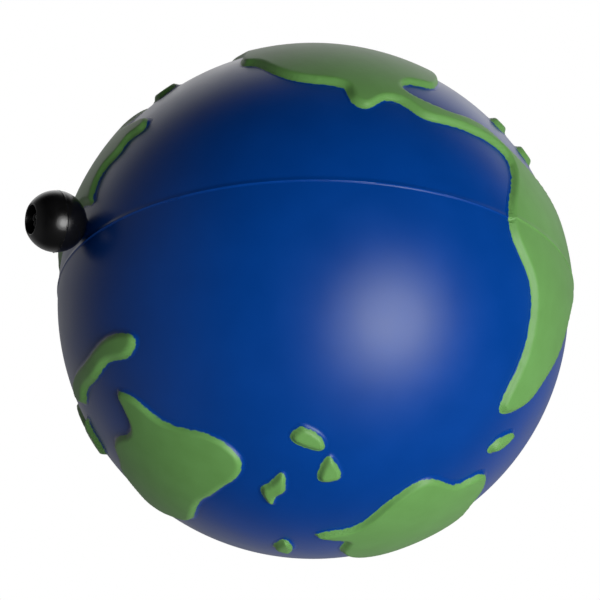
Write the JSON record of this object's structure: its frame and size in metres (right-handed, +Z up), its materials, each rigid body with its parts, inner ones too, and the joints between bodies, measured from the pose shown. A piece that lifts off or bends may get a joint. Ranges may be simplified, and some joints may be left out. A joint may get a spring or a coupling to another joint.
{
  "type": "stress ball",
  "caption": "Round squeeze ball of moulded foam with raised lands on a smooth sea, a parting seam, and a small bead on a spring-return pull cord.",
  "frame": {"origin": "centre of the foam ball, where a palm closes on it", "axes": "+Z up through the pole of the moulding seam, which lies in the plane Z = 0; -X towards the pull bead; Y along the shafts inside"},
  "size_m": [0.0776, 0.0708, 0.0718],
  "materials": {
    "foam_skin": "moulded polyurethane foam, satin blue skin",
    "land_paint": "green paint on the raised foam",
    "abs_shell": "moulded natural ABS",
    "guide_acetal": "moulded acetal",
    "arbor_steel": "turned steel",
    "drum_nylon": "moulded nylon",
    "spring_steel": "blued spring strip",
    "gear_acetal": "moulded acetal",
    "cord_nylon": "black braided nylon cord",
    "bead_abs": "moulded black ABS, polished",
    "washer_nylon": "stamped nylon",
    "pinion_brass": "cut brass",
    "weight_zinc": "die-cast zinc",
    "bush_bronze": "sintered bronze",
    "screw_zinc": "zinc-plated steel"
  },
  "bodies": {
    "ball": {"north_foam_half": "foam_skin", "south_foam_half": "foam_skin", "north_lands": "land_paint", "south_lands": "land_paint", "capsule_base": "abs_shell", "capsule_lid": "abs_shell", "cord_guide": "guide_acetal", "drum_arbor": "arbor_steel", "drum_washer_low": "washer_nylon", "drum_washer_high": "washer_nylon", "idler_pin": "arbor_steel", "idler_washer_low": "washer_nylon", "idler_washer_high": "washer_nylon", "rotor_bush_base": "bush_bronze", "rotor_bush_lid": "bush_bronze", "capsule_screw_1": "screw_zinc", "capsule_screw_2": "screw_zinc", "capsule_screw_3": "screw_zinc", "capsule_screw_4": "screw_zinc"},
    "drum": {"cord_drum": "drum_nylon", "spring_cover": "drum_nylon", "mainspring": "spring_steel", "drum_gear": "gear_acetal", "cord_winding": "cord_nylon", "cord_anchor_knot": "cord_nylon"},
    "idler": {"idler_gear": "gear_acetal"},
    "rotor": {"rotor_shaft": "arbor_steel", "rotor_pinion": "pinion_brass", "rotor_weight": "weight_zinc"},
    "bead": {"pull_bead": "bead_abs", "cord_knot": "cord_nylon", "cord_run": "cord_nylon"}
  },
  "joints": [
    {"name": "drum_spin", "type": "hinge", "parent": "ball", "child": "drum", "pos_m": [0.007, -0.0042, 0.00142], "axis": [0, -1, 0], "range_deg": [0, 1397.5], "deforming": ["mainspring"]},
    {"name": "bead_pull", "type": "slide", "parent": "ball", "child": "bead", "axis": [-0.9871, 0, -0.1599], "range_m": [0, 0.2001], "stiffness_N_per_m": 0.5, "springref_m": -0.02, "deforming": ["cord_run"]},
    {"name": "idler_spin", "type": "hinge", "parent": "ball", "child": "idler", "pos_m": [-0.00432, 0.002, -0.0027], "axis": [0, -1, 0], "range_deg": [-5311.3, 0.5]},
    {"name": "rotor_spin", "type": "hinge", "parent": "ball", "child": "rotor", "pos_m": [0.00095, 0.005, -0.01184], "axis": [0, -1, 0], "range_deg": [-0.5, 16995.1]}
  ],
  "couplings": [
    {"joint": "bead_pull", "follows": "drum_spin", "m_per_rad": 0.0082},
    {"joint": "idler_spin", "follows": "drum_spin", "ratio": -3.8},
    {"joint": "rotor_spin", "follows": "drum_spin", "ratio": 12.16}
  ]
}
